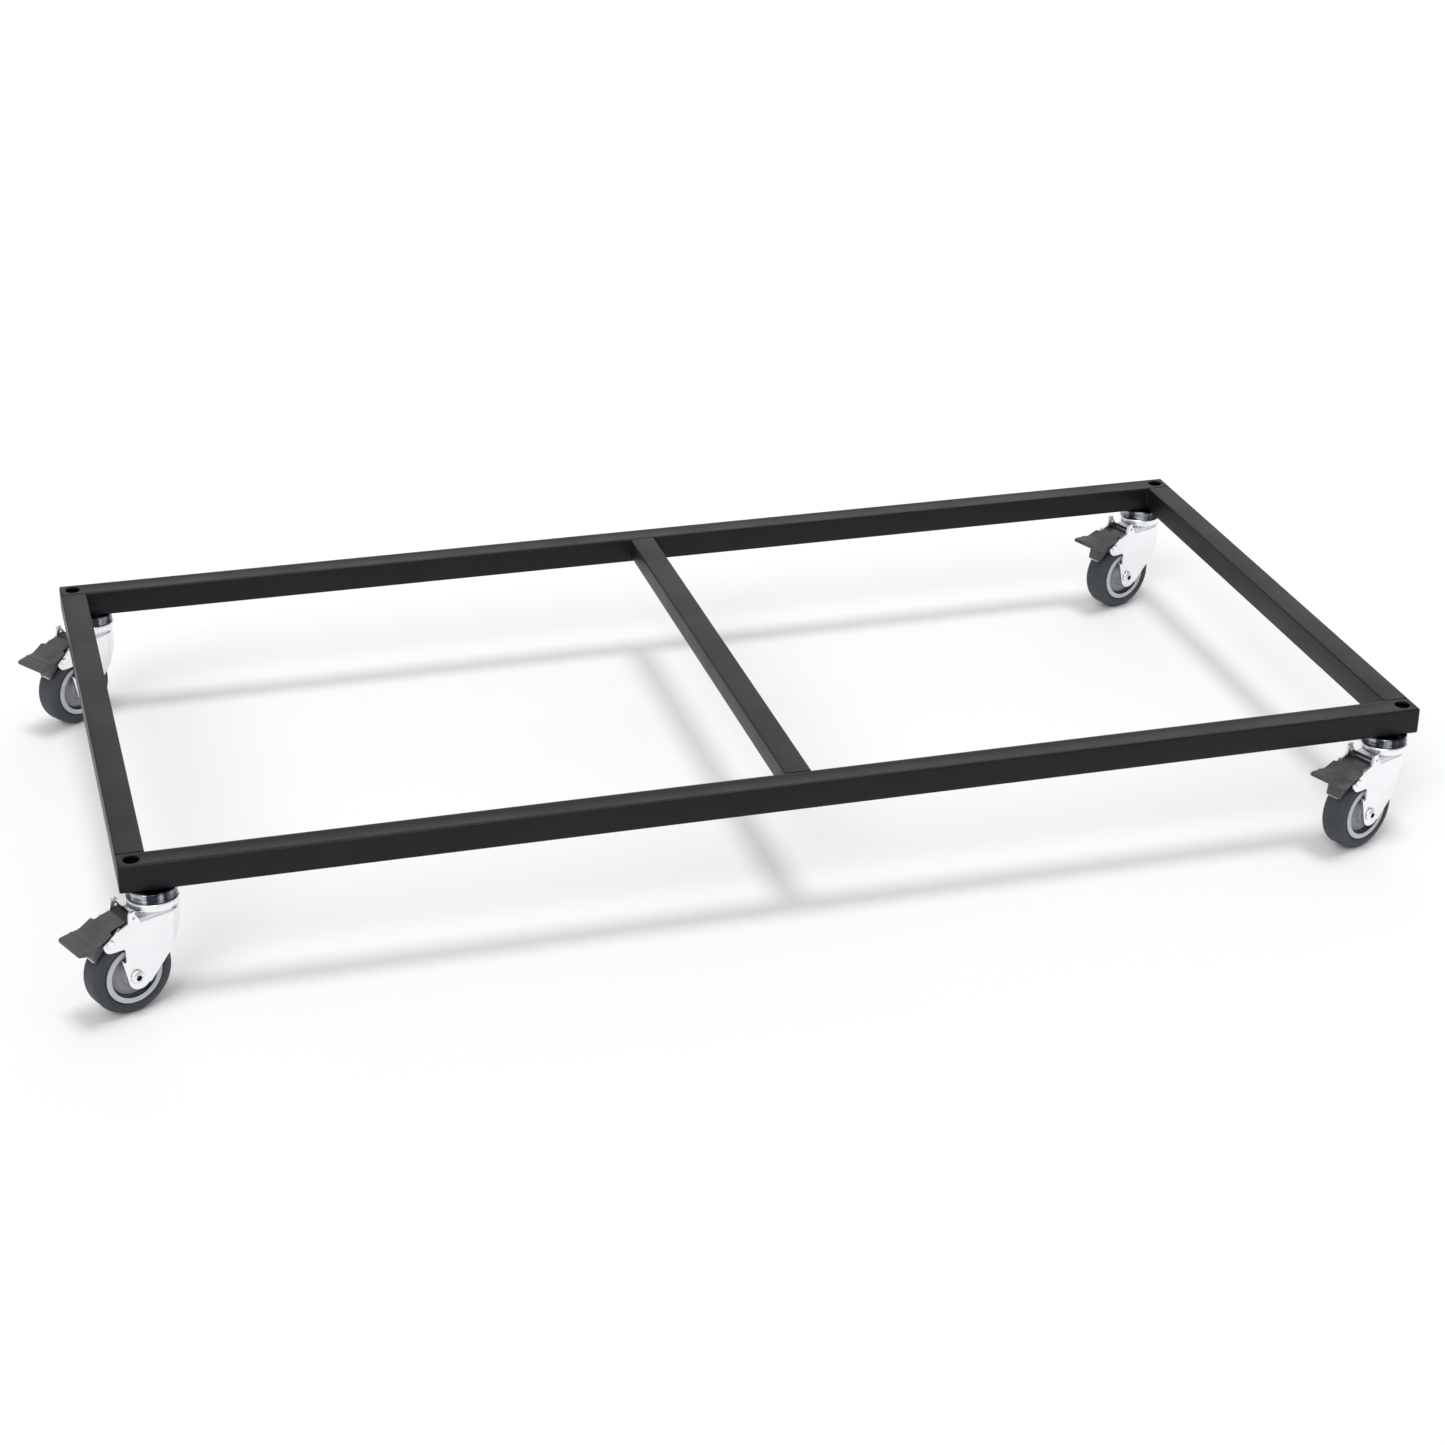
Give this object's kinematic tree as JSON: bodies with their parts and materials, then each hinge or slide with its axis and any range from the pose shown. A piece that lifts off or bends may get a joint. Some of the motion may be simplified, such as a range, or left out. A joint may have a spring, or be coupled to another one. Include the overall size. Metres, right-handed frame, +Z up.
{
  "type": "furniture dolly",
  "caption": "Low rectangular dolly: a flat frame of welded square steel tube with a cross member, on braked swivel castors at the corners.",
  "frame": {"origin": "middle of the dolly's bounding box at floor level, with the castors turned as the picture shows them", "axes": "+X along the long rails, towards the right end; +Y across the frame, from the front long rail towards the rear one; +Z up"},
  "size_m": [1.2542, 0.6506, 0.135],
  "materials": {
    "black_powder_coat": "satin black powder coat",
    "zinc_plate": "bright zinc plate on pressed steel",
    "dark_steel": "glossy dark zinc plate",
    "grey_rubber": "matte moulded rubber",
    "grey_plastic": "fine moulded grain",
    "dark_plastic": "fine moulded grain, ribbed tread"
  },
  "bodies": {
    "frame": {"front_rail": "black_powder_coat", "rear_rail": "black_powder_coat", "left_end_rail": "black_powder_coat", "right_end_rail": "black_powder_coat", "cross_member": "black_powder_coat", "front_left_weld_nut": "dark_steel", "front_left_stem_bolt": "zinc_plate", "front_left_head_race": "dark_steel", "front_right_weld_nut": "dark_steel", "front_right_stem_bolt": "zinc_plate", "front_right_head_race": "dark_steel", "rear_right_weld_nut": "dark_steel", "rear_right_stem_bolt": "zinc_plate", "rear_right_head_race": "dark_steel", "rear_left_weld_nut": "dark_steel", "rear_left_stem_bolt": "zinc_plate", "rear_left_head_race": "dark_steel"},
    "front_left_swivel": {"front_left_ball_ring": "dark_steel", "front_left_fork": "zinc_plate", "front_left_axle_sleeve": "dark_steel", "front_left_axle_bolt": "zinc_plate", "front_left_axle_nut": "zinc_plate", "front_left_pedal_pin": "zinc_plate"},
    "front_left_wheel": {"front_left_tyre": "grey_rubber", "front_left_wheel_hub": "grey_plastic"},
    "front_left_pedal": {"front_left_brake_pedal": "dark_plastic", "front_left_brake_lever": "dark_plastic"},
    "front_right_swivel": {"front_right_ball_ring": "dark_steel", "front_right_fork": "zinc_plate", "front_right_axle_sleeve": "dark_steel", "front_right_axle_bolt": "zinc_plate", "front_right_axle_nut": "zinc_plate", "front_right_pedal_pin": "zinc_plate"},
    "front_right_wheel": {"front_right_tyre": "grey_rubber", "front_right_wheel_hub": "grey_plastic"},
    "front_right_pedal": {"front_right_brake_pedal": "dark_plastic", "front_right_brake_lever": "dark_plastic"},
    "rear_right_swivel": {"rear_right_ball_ring": "dark_steel", "rear_right_fork": "zinc_plate", "rear_right_axle_sleeve": "dark_steel", "rear_right_axle_bolt": "zinc_plate", "rear_right_axle_nut": "zinc_plate", "rear_right_pedal_pin": "zinc_plate"},
    "rear_right_wheel": {"rear_right_tyre": "grey_rubber", "rear_right_wheel_hub": "grey_plastic"},
    "rear_right_pedal": {"rear_right_brake_pedal": "dark_plastic", "rear_right_brake_lever": "dark_plastic"},
    "rear_left_swivel": {"rear_left_ball_ring": "dark_steel", "rear_left_fork": "zinc_plate", "rear_left_axle_sleeve": "dark_steel", "rear_left_axle_bolt": "zinc_plate", "rear_left_axle_nut": "zinc_plate", "rear_left_pedal_pin": "zinc_plate"},
    "rear_left_wheel": {"rear_left_tyre": "grey_rubber", "rear_left_wheel_hub": "grey_plastic"},
    "rear_left_pedal": {"rear_left_brake_pedal": "dark_plastic", "rear_left_brake_lever": "dark_plastic"}
  },
  "joints": [
    {"name": "front_left_swivel_turn", "type": "hinge", "parent": "frame", "child": "front_left_swivel", "pos_m": [-0.54522, -0.27568, 0.11], "axis": [0, 0, 1], "continuous": true},
    {"name": "front_left_wheel_spin", "type": "hinge", "parent": "front_left_swivel", "child": "front_left_wheel", "pos_m": [-0.57171, -0.28748, 0.0375], "axis": [0.4067, -0.9135, 0], "continuous": true},
    {"name": "front_left_pedal_press", "type": "hinge", "parent": "front_left_swivel", "child": "front_left_pedal", "pos_m": [-0.59181, -0.29642, 0.077], "axis": [0.4067, -0.9135, 0], "range_deg": [-12, 0]},
    {"name": "front_right_swivel_turn", "type": "hinge", "parent": "frame", "child": "front_right_swivel", "pos_m": [0.59938, -0.27568, 0.11], "axis": [0, 0, 1], "continuous": true},
    {"name": "front_right_wheel_spin", "type": "hinge", "parent": "front_right_swivel", "child": "front_right_wheel", "pos_m": [0.57269, -0.28701, 0.0375], "axis": [0.3907, -0.9205, 0], "continuous": true},
    {"name": "front_right_pedal_press", "type": "hinge", "parent": "front_right_swivel", "child": "front_right_pedal", "pos_m": [0.55244, -0.29561, 0.077], "axis": [0.3907, -0.9205, 0], "range_deg": [0, 12]},
    {"name": "rear_right_swivel_turn", "type": "hinge", "parent": "frame", "child": "rear_right_swivel", "pos_m": [0.59938, 0.30232, 0.11], "axis": [0, 0, 1], "continuous": true},
    {"name": "rear_right_wheel_spin", "type": "hinge", "parent": "rear_right_swivel", "child": "rear_right_wheel", "pos_m": [0.57231, 0.29193, 0.0375], "axis": [0.3584, -0.9336, 0], "continuous": true},
    {"name": "rear_right_pedal_press", "type": "hinge", "parent": "rear_right_swivel", "child": "rear_right_pedal", "pos_m": [0.55177, 0.28404, 0.077], "axis": [0.3584, -0.9336, 0], "range_deg": [0, 12]},
    {"name": "rear_left_swivel_turn", "type": "hinge", "parent": "frame", "child": "rear_left_swivel", "pos_m": [-0.54522, 0.30232, 0.11], "axis": [0, 0, 1], "continuous": true},
    {"name": "rear_left_wheel_spin", "type": "hinge", "parent": "rear_left_swivel", "child": "rear_left_wheel", "pos_m": [-0.56897, 0.28569, 0.0375], "axis": [0.5736, -0.8192, 0], "continuous": true},
    {"name": "rear_left_pedal_press", "type": "hinge", "parent": "rear_left_swivel", "child": "rear_left_pedal", "pos_m": [-0.58699, 0.27307, 0.077], "axis": [0.5736, -0.8192, 0], "range_deg": [-12, 0]}
  ]
}
